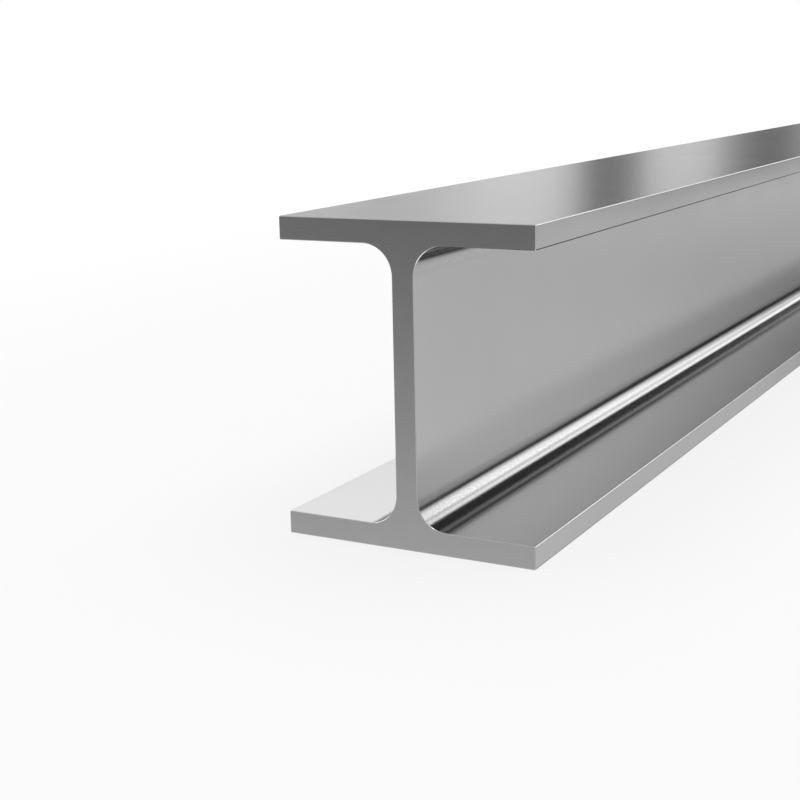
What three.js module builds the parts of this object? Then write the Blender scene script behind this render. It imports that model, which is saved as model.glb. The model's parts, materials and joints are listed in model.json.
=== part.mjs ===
// A rolled steel I-beam: one length of stock, lying on its bottom flange as it would on a level floor.
//
// Millimetres, +Z up. The beam runs along Y, its flanges spread along X and its web stands in the
// plane X = 0. The origin is on the floor, under the middle of the beam.
//
// The whole beam is one piece of steel, so it is one mesh: the section that the rolls form, drawn with
// its root fillets and its slightly round flange edges, extruded over the cut length. Both ends are
// sawn square and have their burr taken off, which leaves a narrow chamfer round the section.

import { ExtrudeGeometry, Group, Mesh, MeshStandardMaterial, Shape, Vector2 } from 'three';

// Driving dimensions
const LENGTH = 3000; // cut length, over both sawn ends
const DEPTH = 250; // height of the section, over both flanges
const FLANGE_WIDTH = 210;
const FLANGE_THICKNESS = 18;
const WEB_THICKNESS = 18;
const ROOT_RADIUS = 24; // fillet where the web meets a flange
const TOE_RADIUS = 1; // corner of a flange edge, as it leaves the rolls
const END_CHAMFER = 0.6; // where the burr of the saw was taken off

// Facets in a quarter turn
const ROOT_FACETS = 12;
const TOE_FACETS = 4;
const QUARTER_TURN = Math.PI / 2;

// A corner of the section before it is rounded. In the section's plane, x is across the beam and y is up.
const toe = (x, y) => ({ point: new Vector2(x, y), radius: TOE_RADIUS, facets: TOE_FACETS });
const root = (x, y) => ({ point: new Vector2(x, y), radius: ROOT_RADIUS, facets: ROOT_FACETS });

// The twelve corners of the I, anticlockwise from the lower left: eight toes and four roots.
function sectionCorners() {
  const edge = FLANGE_WIDTH / 2;
  const web = WEB_THICKNESS / 2;
  const lowerInside = FLANGE_THICKNESS;
  const upperInside = DEPTH - FLANGE_THICKNESS;
  return [
    toe(-edge, 0),
    toe(edge, 0),
    toe(edge, lowerInside),
    root(web, lowerInside),
    root(web, upperInside),
    toe(edge, upperInside),
    toe(edge, DEPTH),
    toe(-edge, DEPTH),
    toe(-edge, upperInside),
    root(-web, upperInside),
    root(-web, lowerInside),
    toe(-edge, lowerInside),
  ];
}

// Points of the quarter circle that rounds one square corner, which the outline reaches in the
// direction of one unit vector and leaves in that of the other. It serves toes and roots alike.
function roundedCorner({ point, radius, facets }, arriving, leaving) {
  const points = [];
  for (let step = 0; step <= facets; step += 1) {
    const turn = QUARTER_TURN * (step / facets);
    const arc = point.clone();
    arc.addScaledVector(arriving, radius * (Math.sin(turn) - 1));
    arc.addScaledVector(leaving, radius * (1 - Math.cos(turn)));
    points.push(arc);
  }
  return points;
}

// The closed outline of the section, with every corner rounded.
function sectionShape() {
  const corners = sectionCorners();
  const outline = corners.flatMap((corner, index) => {
    const previous = corners.at(index - 1).point;
    const next = corners[(index + 1) % corners.length].point;
    const arriving = corner.point.clone().sub(previous).normalize();
    const leaving = next.clone().sub(corner.point).normalize();
    return roundedCorner(corner, arriving, leaving);
  });
  return new Shape(outline);
}

// The extruded beam. The bevel at each end shrinks the outline from its full size by the chamfer.
function beamGeometry() {
  const geometry = new ExtrudeGeometry(sectionShape(), {
    depth: LENGTH - 2 * END_CHAMFER,
    bevelEnabled: true,
    bevelSegments: 1,
    bevelThickness: END_CHAMFER,
    bevelSize: END_CHAMFER,
    bevelOffset: -END_CHAMFER,
  });
  geometry.rotateX(QUARTER_TURN); // the section stands up, and the beam runs towards -Y
  geometry.translate(0, LENGTH / 2 - END_CHAMFER, 0); // its middle comes over the origin
  return geometry;
}

const cleanSteel = new MeshStandardMaterial({ color: '#b2b2b2', roughness: 0.35, metalness: 1 });

const beam = new Mesh(beamGeometry(), cleanSteel);
beam.name = 'i_beam';

const group = new Group();
group.add(beam);

export default group;
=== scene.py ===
"""Looks of the rolled steel I-beam.

Metres, +Z up, in the frame of the solids: the beam lies along Y with its web in the plane X = 0, and
stands on the floor at Z = 0. The visible beam is one smooth surface that stands for the solid one. It
is the section's outline carried along the beam, with round root fillets, round flange edges and ends
whose sharp edge was filed off. Its finish is clean rolled steel, and its ends are sawn.
"""

import json
import math

import bpy
import numpy as np
from mathutils import Matrix, Vector


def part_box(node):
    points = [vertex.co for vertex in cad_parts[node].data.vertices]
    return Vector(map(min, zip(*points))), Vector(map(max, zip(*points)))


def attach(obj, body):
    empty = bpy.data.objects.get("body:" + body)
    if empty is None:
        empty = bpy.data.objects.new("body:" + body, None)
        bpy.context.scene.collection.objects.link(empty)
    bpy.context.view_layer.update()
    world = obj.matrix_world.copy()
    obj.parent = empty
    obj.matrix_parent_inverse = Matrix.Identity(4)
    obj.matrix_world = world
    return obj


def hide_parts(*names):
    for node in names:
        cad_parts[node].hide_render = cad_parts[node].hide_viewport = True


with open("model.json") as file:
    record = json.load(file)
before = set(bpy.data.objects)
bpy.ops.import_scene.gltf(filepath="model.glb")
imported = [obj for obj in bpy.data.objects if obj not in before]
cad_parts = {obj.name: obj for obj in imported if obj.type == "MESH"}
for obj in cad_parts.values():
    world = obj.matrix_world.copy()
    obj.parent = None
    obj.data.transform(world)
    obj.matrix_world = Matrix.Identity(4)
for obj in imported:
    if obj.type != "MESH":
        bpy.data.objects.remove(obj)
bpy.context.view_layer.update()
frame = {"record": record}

MM = 0.001
QUARTER_TURN = math.pi / 2

# ---------------------------------------------------------------------------------------------------
# Sizes of the section: from the solid beam and its mounting faces, then its roundings and its chamfer
# ---------------------------------------------------------------------------------------------------

MOUNTS = {mount["name"]: mount["pos_m"] for mount in frame["record"]["mounts"]}
HALF_WIDTH, HALF_LENGTH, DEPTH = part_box("i_beam")[1]
HALF_WEB = MOUNTS["web_face_plus_x"][0]
FLANGE_THICKNESS = MOUNTS["bottom_flange_inside_plus_x"][2]
ROOT_RADIUS = 24 * MM
TOE_RADIUS = 1 * MM
END_CHAMFER = 0.6 * MM

# A soft crease lies at each side of the chamfer, and takes up this share of it.
CHAMFER_CREASE = 0.12

# Steps of the grid: over a root fillet, over a flange edge, and along the beam.
ROOT_STEPS = 32
TOE_STEPS = 8
LENGTH_STEPS = 60

# ---------------------------------------------------------------------------------------------------
# How the surface changes round the section. Each turn is an angle round a root fillet
# ---------------------------------------------------------------------------------------------------

# A rolled fillet leaves the web a little more gently than a true arc does, so its normals lag. The lag
# grows between the first two turns from the web, and is gone again at the last.
ROOT_LAG = math.radians(3.2)
ROOT_LAG_TURNS = np.radians([0, 9, 57, 77])

# The darker colour of a fillet, which is painted shade, and its painted sheen, smoother finish and deeper
# grain fade in over this turn at both of its ends.
ROOT_FADE = math.radians(18)

# A grey line of painted shade lies where a lower fillet meets its flange. It fades evenly, from the slope's
# value at the flange to 0 at this turn from it, but gets no darker than the line's value.
FLANGE_LINE = 0.84
FLANGE_LINE_SLOPE = 0.95
FLANGE_LINE_TURN = math.radians(45)

# A much fainter line of painted shade lies beside the web, between these turns from it.
WEB_LINE = 0.17
WEB_LINE_TURNS = np.radians([0, 6, 20, 25])

# The upper fillets are shaded instead. The shade grows between these turns from the web.
UPPER_SHADE = 0.6
UPPER_SHADE_TURNS = np.radians([28, 38])

# Lines and shades die away over this width of the flat face beside a fillet.
SIDE_LINE = 7 * MM

# A flange edge that looks down is painted fully dark, as shade, but for the first and last 12 degrees of
# its arc. This times the sine of twice the turn, and no more than 1, is how dark it is.
TOE_SHADE = 2.5


# ---------------------------------------------------------------------------------------------------
# Small helpers
# ---------------------------------------------------------------------------------------------------

# The colour sockets of a Mix node, by number, because its sockets for numbers have the same names.
COLOUR_A, COLOUR_B, MIXED_COLOUR = 6, 7, 2


def linear(hex_colour):
    """Linear RGBA of an sRGB hex colour such as #B0B0B0."""
    channels = [int(hex_colour[i:i + 2], 16) / 255 for i in (1, 3, 5)]
    return tuple(c / 12.92 if c <= 0.04045 else ((c + 0.055) / 1.055) ** 2.4 for c in channels) + (1.0,)


def node(tree, kind, settings=None, links=None):
    """Adds a node. settings gives its properties and socket values, links says what feeds its inputs."""
    made = tree.nodes.new(kind)
    for key, value in (settings or {}).items():
        if isinstance(key, str) and hasattr(made, key):
            setattr(made, key, value)
        else:
            made.inputs[key].default_value = value
    for key, source in (links or {}).items():
        tree.links.new(source, made.inputs[key])
    return made


def new_material(name):
    """A material with no nodes yet, and its node tree."""
    material = bpy.data.materials.new(name)
    material.use_nodes = True
    material.node_tree.nodes.clear()
    return material, material.node_tree


def mesh_object(name, points, faces):
    """A mesh object at the origin, with its points already where they belong."""
    mesh = bpy.data.meshes.new(name)
    mesh.from_pydata(points.tolist(), [], faces)
    mesh.update()
    made = bpy.data.objects.new(name, mesh)
    bpy.context.scene.collection.objects.link(made)
    return made


def grid_faces(rows, columns, closed=False):
    """Quads that join a grid of points, row after row. A closed grid's last column meets its first."""
    across = columns if closed else columns - 1
    row, column = np.meshgrid(np.arange(rows - 1), np.arange(across), indexing="ij")
    here = row * columns + column
    beside = row * columns + (column + 1) % columns
    return np.stack([here, beside, beside + columns, here + columns], axis=-1).reshape(-1, 4)


# ---------------------------------------------------------------------------------------------------
# The beam
# ---------------------------------------------------------------------------------------------------

def corner_arc(corner, into, out, radius, turn, aim):
    """Points and outward normals of a rounded corner, as rows of (x, z).

    With unit directions a into the corner and b out of it, and angles t from 0 to a quarter turn, a
    point is corner + a r (sin t - 1) + b r (1 - cos t). The path runs there along a cos t + b sin t,
    and its normal is that turned outwards. The points take their angles from turn, the normals from aim.
    """
    sine, cosine = np.sin(turn)[:, None], np.cos(turn)[:, None]
    points = corner + radius * (into * (sine - 1) + out * (1 - cosine))
    along = into * np.cos(aim)[:, None] + out * np.sin(aim)[:, None]
    return points, np.stack([along[:, 1], -along[:, 0]], axis=1)


def flange_edge(corner, into, out):
    """A rounded edge of a flange: its points, its normals and the three marks of its finish.

    Two of these marks are painted light. An edge that looks down is painted dark, as shade, and one that
    looks up is painted brighter, as a highlight. Both follow sin 2t over the arc, so they are strongest at
    its middle.
    """
    turn = np.linspace(0, QUARTER_TURN, TOE_STEPS + 1)
    points, normals = corner_arc(corner, into, out, TOE_RADIUS, turn, turn)
    middle = np.sin(2 * turn)
    looks_down = (into - out)[1] < 0
    # Painted shade under an edge that looks down, painted highlight on one that looks up.
    painted_shade = np.clip(TOE_SHADE * middle * looks_down, 0, 1)
    return points, normals, np.zeros_like(turn), painted_shade, middle * (not looks_down)


def root_fillet(corner, into, out):
    """A fillet between web and flange: its points, its normals and the three marks of its finish.

    The normal's angle is the arc's, held back towards the web by the lag, which is a function of the turn
    from the web. Of the lower fillets only the one on the +X side gets the painted lines of shade, and both
    upper fillets get a painted shade. One more point lies on the flat face beside each end of the arc, and
    the marks have died away to 0 there.
    """
    turn = np.linspace(0, QUARTER_TURN, ROOT_STEPS + 1)
    flange_first = into[1] == 0
    from_flange = turn if flange_first else QUARTER_TURN - turn
    from_web = QUARTER_TURN - from_flange
    lag = ROOT_LAG * np.interp(from_web, ROOT_LAG_TURNS, [0, 1, 1, 0])
    aim = turn + lag if flange_first else turn - lag
    points, normals = corner_arc(corner, into, out, ROOT_RADIUS, turn, aim)

    rounded = np.clip(np.minimum(turn, QUARTER_TURN - turn) / ROOT_FADE, 0, 1)
    # Painted shade: over the upper fillets, and as grey lines beside the lower fillet on the +X side.
    if corner[1] > DEPTH / 2:
        painted_shade = np.interp(from_web, UPPER_SHADE_TURNS, [0, UPPER_SHADE])
    else:
        at_flange = np.minimum(FLANGE_LINE_SLOPE * (1 - from_flange / FLANGE_LINE_TURN), FLANGE_LINE)
        at_web = np.interp(from_web, WEB_LINE_TURNS, [0, WEB_LINE, WEB_LINE, 0])
        painted_shade = np.maximum(at_flange, at_web) * (corner[0] > 0)

    points = np.concatenate([points[:1] - SIDE_LINE * into, points, points[-1:] + SIDE_LINE * out])
    normals = np.concatenate([normals[:1], normals, normals[-1:]])
    return points, normals, np.pad(rounded, 1), np.pad(painted_shade, 1), np.zeros(len(points))


def section_outline():
    """The section's outline, anticlockwise seen from -Y, as five arrays with a row for each point.

    The first two are the points and the outward normals, in (x, z). The other three are the marks that the
    colour and finish follow, from 0 to 1. "rounded" is 0 on the flat faces and 1 inside the root fillets.
    The fourth is the painted shade, how much it darkens the point. The fifth is the painted highlight, how
    much it brightens the point.
    """
    low, high = FLANGE_THICKNESS, DEPTH - FLANGE_THICKNESS
    corners = [
        (-HALF_WIDTH, 0, flange_edge), (HALF_WIDTH, 0, flange_edge), (HALF_WIDTH, low, flange_edge),
        (HALF_WEB, low, root_fillet), (HALF_WEB, high, root_fillet),
        (HALF_WIDTH, high, flange_edge), (HALF_WIDTH, DEPTH, flange_edge),
        (-HALF_WIDTH, DEPTH, flange_edge), (-HALF_WIDTH, high, flange_edge),
        (-HALF_WEB, high, root_fillet), (-HALF_WEB, low, root_fillet),
        (-HALF_WIDTH, low, flange_edge),
    ]
    at = np.array([(x, z) for x, z, _ in corners], float)
    into = at - np.roll(at, 1, axis=0)
    into /= np.linalg.norm(into, axis=1, keepdims=True)
    out = np.roll(into, -1, axis=0)
    shapes = [shape for _, _, shape in corners]
    parts = [shape(*corner) for shape, *corner in zip(shapes, at, into, out)]
    return [np.concatenate(part) for part in zip(*parts)]


def stations():
    """Where the outline is repeated along the beam: its place y, how far it has shrunk, and its lean.

    At each end it follows the flat chamfer c of the filed edge: with s from 0 at the sawn face to 1, it
    has shrunk by c (1 - s) and lies c s inside the end. Its lean is the share of its normal that looks
    out of the end: 1 on the sawn face, cos 45 degrees on the chamfer, and 0 beyond. Two narrow creases,
    one at each side of the chamfer, join them. Between the ends the outline keeps its full size.
    """
    share = np.array([0, CHAMFER_CREASE, 1 - CHAMFER_CREASE, 1])
    lean = np.array([1, math.sqrt(0.5), math.sqrt(0.5), 0])
    shrunk, inside = END_CHAMFER * (1 - share), END_CHAMFER * share
    middle = np.linspace(END_CHAMFER - HALF_LENGTH, HALF_LENGTH - END_CHAMFER, LENGTH_STEPS + 1)[1:-1]
    plain = np.zeros_like(middle)
    y = np.concatenate([inside - HALF_LENGTH, middle, (HALF_LENGTH - inside)[::-1]])
    return y, np.concatenate([shrunk, plain, shrunk[::-1]]), np.concatenate([-lean, plain, lean[::-1]])


def make_beam(rolled, sawn):
    """The visible beam: every outline point at every station, closed by a flat sawn face at each end.

    A point's x and z are the outline's, less its normal there times the shrinking, and its y is the
    station's. Its normal has the lean n as y, and the outline's normal times the root of 1 - n squared as x
    and z. The marks that the colour and finish follow, painted shade and highlight among them, are all 0 on
    the filed edges.
    """
    outline, normals, rounded, painted_shade, painted_highlight = section_outline()
    y, shrunk, lean = stations()
    rows, columns = len(y), len(outline)
    section = outline[None] - shrunk[:, None, None] * normals[None]
    points = np.empty((rows, columns, 3))
    points[..., 0] = section[..., 0]
    points[..., 1] = y[:, None]
    points[..., 2] = section[..., 1]
    facing = np.empty_like(points)
    upright = np.sqrt(1 - lean ** 2)[:, None]
    facing[..., 0] = normals[None, :, 0] * upright
    facing[..., 1] = lean[:, None]
    facing[..., 2] = normals[None, :, 1] * upright

    sides = grid_faces(rows, columns, closed=True)
    near_end = list(range(columns))
    far_end = [(rows - 1) * columns + column for column in reversed(range(columns))]
    beam = mesh_object("beam", points.reshape(-1, 3), sides[:, ::-1].tolist() + [near_end, far_end])
    mesh = beam.data
    mesh.materials.append(rolled)
    mesh.materials.append(sawn)
    slots = np.zeros(len(mesh.polygons), dtype=np.int32)
    slots[-2:] = 1
    mesh.polygons.foreach_set("material_index", slots)
    mesh.polygons.foreach_set("use_smooth", np.ones(len(mesh.polygons), dtype=bool))
    mesh.normals_split_custom_set_from_vertices(facing.reshape(-1, 3).tolist())
    # Two of these marks are painted light: a painted shade and a painted highlight.
    marks = {"rounded": rounded, "painted_shade": painted_shade, "painted_highlight": painted_highlight}
    for name, values in marks.items():
        layer = mesh.attributes.new(name, "FLOAT", "POINT")
        layer.data.foreach_set("value", np.outer(lean == 0, values).ravel())
    return beam


# ---------------------------------------------------------------------------------------------------
# Finishes
# ---------------------------------------------------------------------------------------------------

def rolled_steel():
    """Mild steel, hot rolled, then descaled and brought to a satin shine along its length."""
    material, tree = new_material("bright_rolled_steel")
    place = node(tree, "ShaderNodeTexCoord").outputs["Object"]
    # The fillets' mark also carries their painted shade and sheen. The other two marks are a painted shade
    # and a painted highlight.
    rounded, painted_shade, painted_highlight = (
        node(tree, "ShaderNodeAttribute", {"attribute_name": name}).outputs["Fac"]
        for name in ("rounded", "painted_shade", "painted_highlight"))

    # Faint clouds about 90 mm across, where the surface took the brushing a little differently.
    clouds = node(tree, "ShaderNodeTexNoise", {"Scale": 1 / (90 * MM), "Detail": 4.0, "Roughness": 0.5},
                  {"Vector": place})
    flat = node(tree, "ShaderNodeMix",
                {"data_type": "RGBA", COLOUR_A: linear("#ABABAB"), COLOUR_B: linear("#B1B1B1")},
                {"Factor": clouds.outputs["Fac"]})

    # The root fillets are painted darker than the flat faces, as shade in the corners, and speckled. The
    # specks are well under 1 mm, and are drawn 1.4 mm wide and 3 mm long to show.
    speckle = node(tree, "ShaderNodeMapping",
                   {"Scale": (1 / (1.4 * MM), 1 / (3 * MM), 1 / (1.4 * MM))}, {"Vector": place})
    specks = node(tree, "ShaderNodeTexNoise", {"Scale": 1.0, "Detail": 2.0}, {"Vector": speckle.outputs[0]})
    # Painted shade: the fillets' speckled colour is darker than the flats'.
    descaled = node(tree, "ShaderNodeMix",
                    {"data_type": "RGBA", COLOUR_A: linear("#7E7E7E"), COLOUR_B: linear("#9F9F9F")},
                    {"Factor": specks.outputs["Fac"]})
    flat_or_fillet = node(tree, "ShaderNodeMix", {"data_type": "RGBA"},
                  {"Factor": rounded, COLOUR_A: flat.outputs[MIXED_COLOUR],
                   COLOUR_B: descaled.outputs[MIXED_COLOUR]})

    # Soft grey lines of painted shade lie beside the fillets and under the flange edges, and the upper
    # edges of the flanges get a painted highlight.
    lined = node(tree, "ShaderNodeMix", {"data_type": "RGBA", COLOUR_B: linear("#303030")},
                 {"Factor": painted_shade, COLOUR_A: flat_or_fillet.outputs[MIXED_COLOUR]})
    colour = node(tree, "ShaderNodeMix", {"data_type": "RGBA", COLOUR_B: linear("#C4C4C4")},
                  {"Factor": painted_highlight, COLOUR_A: lined.outputs[MIXED_COLOUR]})

    # Satin on the flat faces, where the clouds vary it, and a little smoother in the fillets.
    satin = node(tree, "ShaderNodeMapRange",
                 {"From Min": 0.3, "From Max": 0.7, "To Min": 0.165, "To Max": 0.19},
                 {"Value": clouds.outputs["Fac"]})
    roughness = node(tree, "ShaderNodeMapRange", {"To Max": 0.145},
                     {"Value": rounded, "To Min": satin.outputs[0]})

    # The rolls and the brushes leave lines along the beam, about 1.5 mm apart and 300 mm long. Over
    # them lies the grain that the scale left, strongest in the fillets. It is finer than a tenth of a
    # millimetre, and is drawn 1.3 mm across so that it shows.
    along = node(tree, "ShaderNodeMapping",
                 {"Scale": (1 / (1.5 * MM), 1 / (300 * MM), 1 / (1.5 * MM))}, {"Vector": place})
    lines = node(tree, "ShaderNodeTexNoise", {"Scale": 1.0, "Detail": 3.0, "Roughness": 0.6},
                 {"Vector": along.outputs[0]})
    grain = node(tree, "ShaderNodeTexNoise", {"Scale": 1 / (1.3 * MM), "Detail": 1.0}, {"Vector": place})
    grain_to_lines = 3.0
    height = node(tree, "ShaderNodeMath", {"operation": "MULTIPLY_ADD", 1: grain_to_lines},
                  {0: grain.outputs["Fac"], 2: lines.outputs["Fac"]})
    depth = node(tree, "ShaderNodeMapRange", {"To Min": 0.15, "To Max": 1.0}, {"Value": rounded})
    relief = node(tree, "ShaderNodeBump", {"Distance": 0.006 * MM},
                  {"Strength": depth.outputs[0], "Height": height.outputs[0]})

    # The specular tint is painted light as well. At a glancing angle the fillets shine like a mirror, a
    # painted sheen, the brushed faces a little less, and the darkest part of a grey line of painted shade
    # much less.
    glancing = node(tree, "ShaderNodeMix",
                    {"data_type": "RGBA", COLOUR_A: linear("#CFCFCF"), COLOUR_B: linear("#FFFFFF")},
                    {"Factor": rounded})
    deepest = node(tree, "ShaderNodeMapRange", {"From Min": 0.79}, {"Value": painted_shade})
    tint = node(tree, "ShaderNodeMix", {"data_type": "RGBA", COLOUR_B: linear("#505050")},
                {"Factor": deepest.outputs[0], COLOUR_A: glancing.outputs[MIXED_COLOUR]})

    shader = node(tree, "ShaderNodeBsdfPrincipled", {"Metallic": 1.0},
                  {"Base Color": colour.outputs[MIXED_COLOUR], "Roughness": roughness.outputs[0],
                   "Specular Tint": tint.outputs[MIXED_COLOUR], "Normal": relief.outputs[0]})
    node(tree, "ShaderNodeOutputMaterial", {}, {"Surface": shader.outputs[0]})
    return material


def sawn_steel():
    """The same steel where a cold saw cut it: duller, with fine curved marks of the blade."""
    material, tree = new_material("sawn_steel")
    place = node(tree, "ShaderNodeTexCoord").outputs["Object"]

    # The middle of the blade was half a metre beside the beam, so its marks are arcs round a point
    # there. They are less than 1 mm apart, and are drawn 3 mm apart so that they show: at a scale of 1
    # this texture's rings are 314 mm apart.
    centred = node(tree, "ShaderNodeMapping", {"Location": (-0.5, 0.0, 0.1), "Scale": (1.0, 0.0, 1.0)},
                   {"Vector": place})
    marks = node(tree, "ShaderNodeTexWave",
                 {"wave_type": "RINGS", "rings_direction": "SPHERICAL", "Scale": 100.0,
                  "Distortion": 1.5, "Detail": 3.0, "Detail Scale": 2.0},
                 {"Vector": centred.outputs[0]})
    relief = node(tree, "ShaderNodeBump", {"Strength": 1.0, "Distance": 0.004 * MM},
                  {"Height": marks.outputs["Fac"]})

    # Faint blotches about 12 mm across, from the coolant and the swarf.
    blotches = node(tree, "ShaderNodeTexNoise", {"Scale": 1 / (12 * MM), "Detail": 5.0}, {"Vector": place})
    colour = node(tree, "ShaderNodeMix",
                  {"data_type": "RGBA", COLOUR_A: linear("#ABABAB"), COLOUR_B: linear("#B2B2B2")},
                  {"Factor": blotches.outputs["Fac"]})
    shader = node(tree, "ShaderNodeBsdfPrincipled",
                  {"Metallic": 1.0, "Roughness": 0.3, "Specular Tint": linear("#DADADA")},
                  {"Base Color": colour.outputs[MIXED_COLOUR], "Normal": relief.outputs[0]})
    node(tree, "ShaderNodeOutputMaterial", {}, {"Surface": shader.outputs[0]})
    return material


# ---------------------------------------------------------------------------------------------------
# Studio
# ---------------------------------------------------------------------------------------------------

WHITE = (1.0, 1.0, 1.0, 1.0)

# How much of the backdrop's white the floor shows close to the beam, the distances between which that
# grows to all of it, and the floor's half width.
FLOOR_WHITE = 0.76
FLOOR_FADE = (0.4, 1.6)
FLOOR_REACH = 60.0

# Distances from the beam's middle to the cards, and the steps of their grids.
LEFT_CARD_DISTANCE = 20.0
CARD_DISTANCE = 18.0
TROUGH_DISTANCE = 10.0
AZIMUTH_STEPS, ELEVATION_STEPS = 65, 33
TROUGH_STEPS, ALONG_STEPS = 65, 3

CARD_RAYS = {"camera": False, "diffuse": False, "glossy": True, "shadow": False, "transmission": False,
             "volume_scatter": False}


def seen_by(tree):
    """1 on the rays that show the backdrop: the camera's, and those that the steel mirrors."""
    path = node(tree, "ShaderNodeLightPath")
    mirrored = node(tree, "ShaderNodeMath", {"operation": "MAXIMUM"},
                    {0: path.outputs["Is Glossy Ray"], 1: path.outputs["Is Transmission Ray"]})
    seen = node(tree, "ShaderNodeMath", {"operation": "MAXIMUM"},
                {0: path.outputs["Is Camera Ray"], 1: mirrored.outputs[0]})
    return seen.outputs[0]


def make_floor():
    """A wide pale floor that takes the beam's shadow. Some metres off it is as white as the backdrop."""
    material, tree = new_material("pale_floor")
    place = node(tree, "ShaderNodeTexCoord").outputs["Object"]

    # The fade is an oval, drawn out along the beam.
    oval = node(tree, "ShaderNodeMapping", {"Scale": (1.0, 0.42, 1.0)}, {"Vector": place})
    away = node(tree, "ShaderNodeVectorMath", {"operation": "LENGTH"}, {0: oval.outputs[0]})
    fade = node(tree, "ShaderNodeMapRange",
                {"interpolation_type": "SMOOTHSTEP", "From Min": FLOOR_FADE[0], "From Max": FLOOR_FADE[1],
                 "To Min": FLOOR_WHITE, "To Max": 1.0},
                {"Value": away.outputs["Value"]})
    share = node(tree, "ShaderNodeMath", {"operation": "MULTIPLY"}, {0: fade.outputs[0], 1: seen_by(tree)})
    paint = node(tree, "ShaderNodeBsdfDiffuse", {"Color": linear("#F4F4F4")})
    backdrop = node(tree, "ShaderNodeEmission", {"Color": WHITE, "Strength": 1.0})
    mixed = node(tree, "ShaderNodeMixShader", {},
                 {0: share.outputs[0], 1: paint.outputs[0], 2: backdrop.outputs[0]})
    node(tree, "ShaderNodeOutputMaterial", {}, {"Surface": mixed.outputs[0]})

    corners = FLOOR_REACH * np.array([(-1, -1, 0), (1, -1, 0), (1, 1, 0), (-1, 1, 0)], float)
    floor = mesh_object("floor", corners, [(0, 1, 2, 3)])
    floor.data.materials.append(material)
    floor.visible_glossy = False


def make_world():
    """A white backdrop all round, which the steel mirrors, and a softer level of light from it."""
    world = bpy.data.worlds.new("studio")
    world.use_nodes = True
    tree = world.node_tree
    tree.nodes.clear()
    level = node(tree, "ShaderNodeMapRange", {"To Min": 0.35, "To Max": 1.0}, {"Value": seen_by(tree)})
    backdrop = node(tree, "ShaderNodeBackground", {"Color": WHITE}, {"Strength": level.outputs[0]})
    node(tree, "ShaderNodeOutputWorld", {}, {"Surface": backdrop.outputs[0]})
    bpy.context.scene.world = world


def make_lamp(name, place, size, power):
    """A square softbox that looks at the beam's middle."""
    data = bpy.data.lights.new(name, "AREA")
    data.shape = "SQUARE"
    data.size = size
    data.energy = power
    lamp = bpy.data.objects.new(name, data)
    lamp.location = place
    lamp.rotation_euler = (-Vector(place)).to_track_quat("-Z", "Y").to_euler()
    lamp.visible_camera = False
    lamp.visible_glossy = False
    bpy.context.scene.collection.objects.link(lamp)


def span_of(tones):
    """The first and last stop of a card's tones, in degrees. The card reaches from one to the other."""
    return tones[0][0], tones[-1][0]


def card_material(name, tones):
    """Glow of a card: its brightness at stops across its span, joined by a smooth curve."""
    material, tree = new_material(name)
    start, end = span_of(tones)
    peak = max(tone for _, tone in tones)
    uv = node(tree, "ShaderNodeUVMap", {"uv_map": "card"}).outputs[0]
    split = node(tree, "ShaderNodeSeparateXYZ", {}, {0: uv})
    ramp = node(tree, "ShaderNodeFloatCurve", {}, {"Value": split.outputs[0]})
    curve = ramp.mapping.curves[0]
    while len(curve.points) < len(tones):
        curve.points.new(0.5, 0.5)
    for point, (stop, tone) in zip(curve.points, tones):
        point.location = ((stop - start) / (end - start), tone / peak)
        point.handle_type = "AUTO_CLAMPED"
    ramp.mapping.update()
    strength = node(tree, "ShaderNodeMath", {"operation": "MULTIPLY", 1: peak}, {0: ramp.outputs[0]})
    glow = node(tree, "ShaderNodeEmission", {}, {"Strength": strength.outputs[0]})
    node(tree, "ShaderNodeOutputMaterial", {}, {"Surface": glow.outputs[0]})
    return material


def make_card(name, points, tones):
    """A card that only mirrored rays meet. Its tones run from the first column of its grid to the last."""
    rows, columns = points.shape[:2]
    card = mesh_object(name, points.reshape(-1, 3), grid_faces(rows, columns).tolist())
    u, v = np.meshgrid(np.linspace(0, 1, columns), np.linspace(0, 1, rows))
    corner = np.empty(len(card.data.loops), dtype=np.int32)
    card.data.loops.foreach_get("vertex_index", corner)
    layer = card.data.uv_layers.new(name="card")
    layer.data.foreach_set("uv", np.stack([u.ravel()[corner], v.ravel()[corner]], axis=1).ravel())
    card.data.materials.append(card_material(name, tones))
    for ray, seen in CARD_RAYS.items():
        setattr(card, "visible_" + ray, seen)


def round_wall(azimuths, elevations, distance):
    """Grid of a piece of an upright drum round the beam, a row for each azimuth.

    A point at azimuth a and elevation e, seen from the origin, is d (sin a, cos a, tan e). Azimuth 0 is
    towards +Y, and 90 towards +X.
    """
    a = np.radians(np.linspace(*azimuths, AZIMUTH_STEPS))[:, None]
    e = np.radians(np.linspace(*elevations, ELEVATION_STEPS))[None, :]
    return np.stack(np.broadcast_arrays(np.sin(a), np.cos(a), np.tan(e)), axis=-1) * distance


def level_card(name, azimuths, tones):
    """A piece of the upright drum with level bands: its stops are elevations."""
    make_card(name, round_wall(azimuths, span_of(tones), CARD_DISTANCE), tones)


def upright_card(name, elevations, tones):
    """A piece of the upright drum with upright bands: its stops are azimuths."""
    points = round_wall(span_of(tones), elevations, LEFT_CARD_DISTANCE)
    make_card(name, points.transpose(1, 0, 2), tones)


def long_card(name, along, tones):
    """A piece of a lying drum, as long softboxes beside the beam would hang: its stops are angles.

    A point at angle t above +X, and at y along the beam, is (d cos t, y, d sin t).
    """
    y = np.linspace(*along, ALONG_STEPS)[:, None]
    t = np.radians(np.linspace(*span_of(tones), TROUGH_STEPS))[None, :]
    grid = np.broadcast_arrays(TROUGH_DISTANCE * np.cos(t), y, TROUGH_DISTANCE * np.sin(t))
    make_card(name, np.stack(grid, axis=-1), tones)


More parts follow.
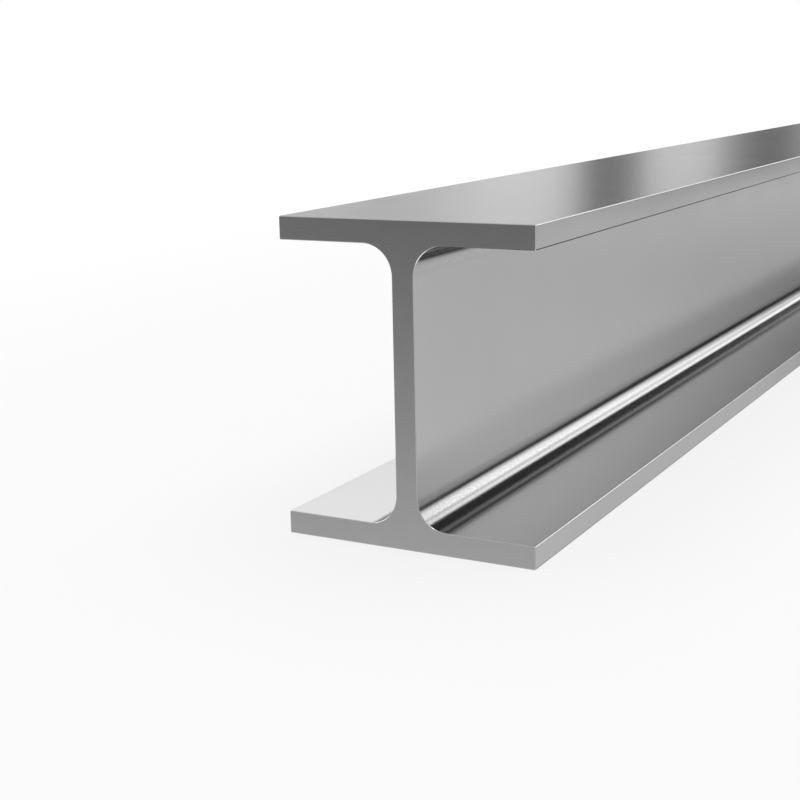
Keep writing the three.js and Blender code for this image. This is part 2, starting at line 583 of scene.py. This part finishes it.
def make_left_cards():
    """Behind the beam to the left: a pale wall with two dark uprights, which is brighter above. Two
    softboxes stand beside it, over a dark strip at the horizon.
    """
    uprights = [(-25, 1.0), (-23.5, 0.85), (-22.3, 0.36), (-21.6, 0.23), (-20.9, 0.29), (-20.1, 0.52),
                (-18.4, 0.9), (-16.7, 0.58), (-15.5, 0.27), (-14.7, 0.2), (-13.8, 0.29), (-12, 0.62),
                (-9, 0.8)]
    gain_above = 1.85
    upright_card("left_wall", (-0.5, 11), [(-60, 0.8), (-34, 0.8), (-31.5, 0.7), (-28, 0.84)] + uprights)
    upright_card("left_high_wall", (11, 40), [(azimuth, gain_above * tone) for azimuth, tone in uprights])
    upright_card("left_softbox", (11.5, 40), [(-62, 1.1), (-46, 1.1), (-37, 2.2), (-25, 2.2)])
    level_card("left_side_softbox", (-95, -60), [(8, 2.4), (40, 2.4)])
    level_card("left_horizon", (-60, -29), [(-12, 0.1), (2.5, 0.1)])


def make_right_cards():
    """To the right: the floor, which darkens towards the horizon, and long softboxes over it.

    Five of them hang low, end to end, and get darker one after another. Two hang above them, under a
    dark shade. They start 13.2 m beyond the beam's middle, and up to there stands a plain wall.
    """
    level_card("right_floor", (25, 75), [
        (-30, 1.35), (-18, 1.2), (-13, 1.05), (-7.5, 1.03), (-6, 1.15), (-4.6, 0.6), (-3, 0.48),
        (-1.3, 0.26), (0, 0.14)])
    level_card("mid_right_floor", (19.5, 25), [
        (-30, 0.7), (-22, 1.15), (-12, 1.16), (-8, 1.08), (-5.4, 1.3), (-4.6, 0.9), (-3.7, 0.2),
        (-2, 0.1), (0, 0.04)])
    level_card("far_right_floor", (15.5, 19.5), [
        (-30, 0.7), (-22, 1.15), (-13, 1.28), (-11, 1.15), (-8, 1.02), (-6.4, 1.1), (-5, 1.5),
        (-4.1, 1.62), (-3.6, 0.4), (-3.1, 0.06), (-1, 0.04), (0, 0.03)])
    level_card("last_right_floor", (12, 15.5), [
        (-30, 0.6), (-22, 1.05), (-12.5, 1.38), (-11, 1.2), (-8.5, 0.9), (-6.2, 0.99), (-5, 1.12),
        (-3, 1.7), (-2.4, 0.4), (-1.9, 0.06), (0, 0.03)])
    long_card("right_low_softbox_1", (13.2, 17.5), [
        (0, 0.13), (4, 0.05), (6, 0.07), (8, 0.5), (10.5, 1.3), (14, 1.8), (18, 2.35), (22, 2.85),
        (32, 2.95), (36, 3.15), (39.5, 3.15), (42, 2.85), (44, 2.3)])
    long_card("right_low_softbox_2", (17.5, 23.5), [
        (0, 0.05), (4, 0.03), (7, 0.05), (9.5, 0.3), (12.5, 0.8), (16, 1.4), (20, 2.1), (24, 2.6),
        (33, 2.8), (36, 3.2), (38, 3.15), (41, 2.75), (44, 2.2)])
    long_card("right_low_softbox_3", (23.5, 30.5), [
        (0, 0.02), (5, 0.02), (8, 0.08), (11.5, 0.35), (15.5, 0.95), (20, 1.15), (24, 1.4), (28, 2.0),
        (33, 2.4), (36, 2.27), (38, 2.15), (41, 2.1), (44, 1.65)])
    long_card("right_low_softbox_4", (30.5, 36), [
        (0, 0.02), (7, 0.02), (10, 0.06), (15, 0.35), (20, 0.6), (25, 0.85), (31, 1.03), (35.5, 1.5),
        (38, 1.38), (41, 1.15), (44, 1.03)])
    long_card("right_low_softbox_5", (36, 150), [
        (0, 0.02), (9, 0.02), (13, 0.06), (18, 0.16), (24, 0.3), (30, 0.55), (35, 1.08), (38, 1.1),
        (41, 1.05), (44, 0.9)])
    long_card("right_high_softbox", (13.2, 29.5), [
        (44, 2.2), (47.5, 1.75), (50, 1.65), (53, 2.1), (57, 2.9), (61, 2.95), (65, 2.5), (70, 1.6)])
    long_card("far_right_high_softbox", (29.5, 150), [
        (44, 1.0), (46.5, 0.9), (49, 1.35), (52, 2.1), (56, 2.35), (61, 2.25), (65, 1.95), (70, 1.4)])
    long_card("right_top_shade", (11, 150), [(70, 0.25), (90, 0.25)])
    long_card("right_wall", (-12, 13.2), [(0, 0.6), (12, 0.6), (20, 1.1), (70, 1.3)])


def make_far_cards():
    """Straight down the beam: a glow with a dimmer band across it, over a dark floor."""
    level_card("far_glow", (-9, 8), [(5, 2.7), (18.5, 2.6), (21.5, 0.7), (23.5, 0.7), (26, 2), (45, 2)])
    level_card("far_floor", (-12, 12), [(-45, 0.1), (-14, 0.1), (-8, 0.9)])


def make_front_cards():
    """In front: a wall that is dark straight ahead and paler to the left, and to the right a pale floor
    and wall under a softbox.
    """
    level_card("front_wall", (-200, -140), [
        (-26, 1.2), (-18, 0.9), (-12, 0.46), (-6, 0.18), (8, 0.06), (45, 0.4)])
    level_card("front_left_wall", (-140, -95), [
        (-26, 1.2), (-12, 0.95), (0, 0.6), (8, 0.9), (16, 1.8), (45, 2.0)])
    level_card("front_low_wall", (75, 150), [(-22, 0.9), (22, 0.9)])
    level_card("front_floor", (95, 150), [(-75, 2.2), (-45, 2.2), (-32, 0.9)])
    level_card("front_softbox", (50, 165), [(24, 3.2), (62, 3.2)])


# ---------------------------------------------------------------------------------------------------
# Camera
# ---------------------------------------------------------------------------------------------------

def make_camera():
    """A long lens a little over a metre from the near end, to the right of the beam and above it."""
    place = Matrix.Translation((0.49833, -2.41655, 0.35660))
    turn, dip, tilt = math.radians(28.722), math.radians(12.924), math.radians(-1.182)
    data = bpy.data.cameras.new("camera")
    data.lens = 65.11
    camera = bpy.data.objects.new("camera", data)
    camera.matrix_world = (place @ Matrix.Rotation(turn, 4, "Z")
                           @ Matrix.Rotation(QUARTER_TURN - dip, 4, "X") @ Matrix.Rotation(tilt, 4, "Z"))
    bpy.context.scene.collection.objects.link(camera)
    bpy.context.scene.camera = camera


# ---------------------------------------------------------------------------------------------------
# The scene
# ---------------------------------------------------------------------------------------------------

beam = make_beam(rolled_steel(), sawn_steel())
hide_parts("i_beam")
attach(beam, "root")

make_floor()
make_world()
make_lamp("overhead_softbox", (0, 0, 5.0), size=6.0, power=215.0)
make_left_cards()
make_right_cards()
make_far_cards()
make_front_cards()
make_camera()
bpy.context.scene.view_settings.view_transform = "Standard"
